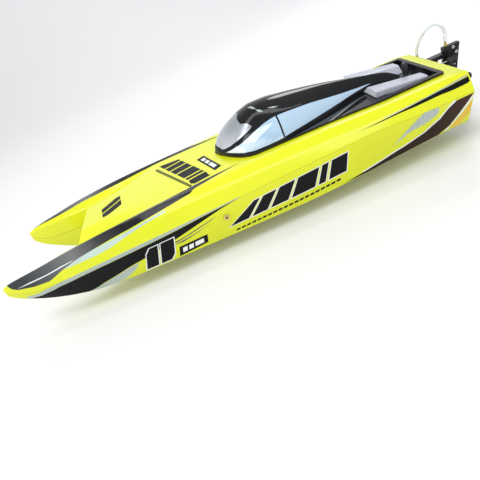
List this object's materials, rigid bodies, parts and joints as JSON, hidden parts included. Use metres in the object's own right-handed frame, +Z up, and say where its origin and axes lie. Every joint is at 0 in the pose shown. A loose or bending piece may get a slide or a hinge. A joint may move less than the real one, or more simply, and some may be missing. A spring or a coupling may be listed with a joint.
{
  "type": "radio-controlled racing catamaran",
  "caption": "Model racing catamaran with a lift-off canopy, offset steering rudder, straight propeller shaft and cooling hose.",
  "frame": {"origin": "under the middle of the whole length, at the lowest point of the rudder", "axes": "+X towards the bow, +Y to port, +Z up"},
  "size_m": [0.762, 0.1904, 0.1595],
  "materials": {
    "hull_yellow": "fluorescent yellow lacquer, clear coated",
    "canopy_black": "high-gloss black",
    "black_alloy": "black anodised",
    "black_plastic": "satin moulded",
    "grey_plastic": "satin moulded",
    "silver_trim": "silver painted",
    "steel": "bright",
    "brass": "satin",
    "silicone": "translucent white",
    "rubber": "matt",
    "blue_alloy": "blue anodised",
    "battery_wrap": "shrink wrap",
    "foam": "closed-cell foam"
  },
  "bodies": {
    "hull": {"strut_bushing": "brass", "stuffing_tube": "brass", "motor_can": "black_plastic", "motor_mount": "blue_alloy", "water_jacket": "blue_alloy", "lower_hull": "hull_yellow", "upper_deck": "hull_yellow", "hatch_gasket": "rubber", "lock_bracket": "black_plastic", "outlet_fitting": "brass", "drain_plug": "rubber", "transom_nipple": "brass", "rudder_bracket": "black_alloy", "rudder_pin": "steel", "pushrod_bellows": "rubber", "steering_servo": "black_plastic", "servo_bracket": "grey_plastic", "bracket_screw_1": "steel", "bracket_screw_2": "steel", "bracket_screw_3": "steel", "bracket_screw_4": "steel", "strut": "black_alloy", "strut_screw_1": "steel", "strut_screw_2": "steel", "battery_port": "battery_wrap", "battery_starboard": "battery_wrap", "battery_tray_port": "grey_plastic", "battery_tray_starboard": "grey_plastic", "battery_strap_port": "rubber", "battery_strap_starboard": "rubber", "speed_controller": "blue_alloy", "receiver": "black_plastic", "foam_block_port": "foam", "foam_block_starboard": "foam", "water_hose": "silicone", "cooling_hose_inlet": "silicone", "cooling_hose_outlet": "silicone"},
    "canopy": {"canopy": "canopy_black", "scoop_port": "silver_trim", "scoop_starboard": "silver_trim"},
    "lock_knob": {"lock_knob": "black_plastic"},
    "rudder": {"rudder_head": "black_alloy", "rudder_blade": "black_alloy", "rudder_nipple": "brass", "tiller_arm": "black_alloy", "tiller_link_pin": "steel", "rudder_screw_1": "steel", "rudder_screw_2": "steel"},
    "pushrod": {"pushrod": "steel", "rudder_clevis": "black_plastic", "servo_clevis": "black_plastic"},
    "servo_horn": {"servo_horn": "black_plastic", "horn_link_pin": "steel"},
    "drive_train": {"prop_shaft": "steel", "drive_dog": "brass", "propeller": "black_plastic", "prop_nut": "steel", "shaft_coupler": "blue_alloy", "motor_shaft": "steel"}
  },
  "joints": [
    {"name": "canopy_lift", "type": "slide", "parent": "hull", "child": "canopy", "axis": [0, 0, 1], "range_m": [0, 0.08]},
    {"name": "lock_knob_turn", "type": "hinge", "parent": "canopy", "child": "lock_knob", "pos_m": [-0.273, 0, 0.107], "axis": [0, 0, 1], "range_deg": [0, 90]},
    {"name": "rudder_steer", "type": "hinge", "parent": "hull", "child": "rudder", "pos_m": [-0.361, -0.041, 0.076], "axis": [0, 0, 1], "range_deg": [-30, 30]},
    {"name": "horn_turn", "type": "hinge", "parent": "hull", "child": "servo_horn", "pos_m": [-0.262, -0.041, 0.076], "axis": [0, 0, 1], "range_deg": [-30.5, 30.5]},
    {"name": "pushrod_slide", "type": "slide", "parent": "hull", "child": "pushrod", "axis": [1, 0, 0], "range_m": [-0.0096, 0.0096]},
    {"name": "shaft_spin", "type": "hinge", "parent": "hull", "child": "drive_train", "pos_m": [-0.355, 0, 0.025], "axis": [0.9866, 0, 0.1633], "continuous": true}
  ],
  "couplings": [
    {"joint": "horn_turn", "follows": "rudder_steer", "ratio": 1},
    {"joint": "pushrod_slide", "follows": "rudder_steer", "m_per_rad": -0.018}
  ]
}
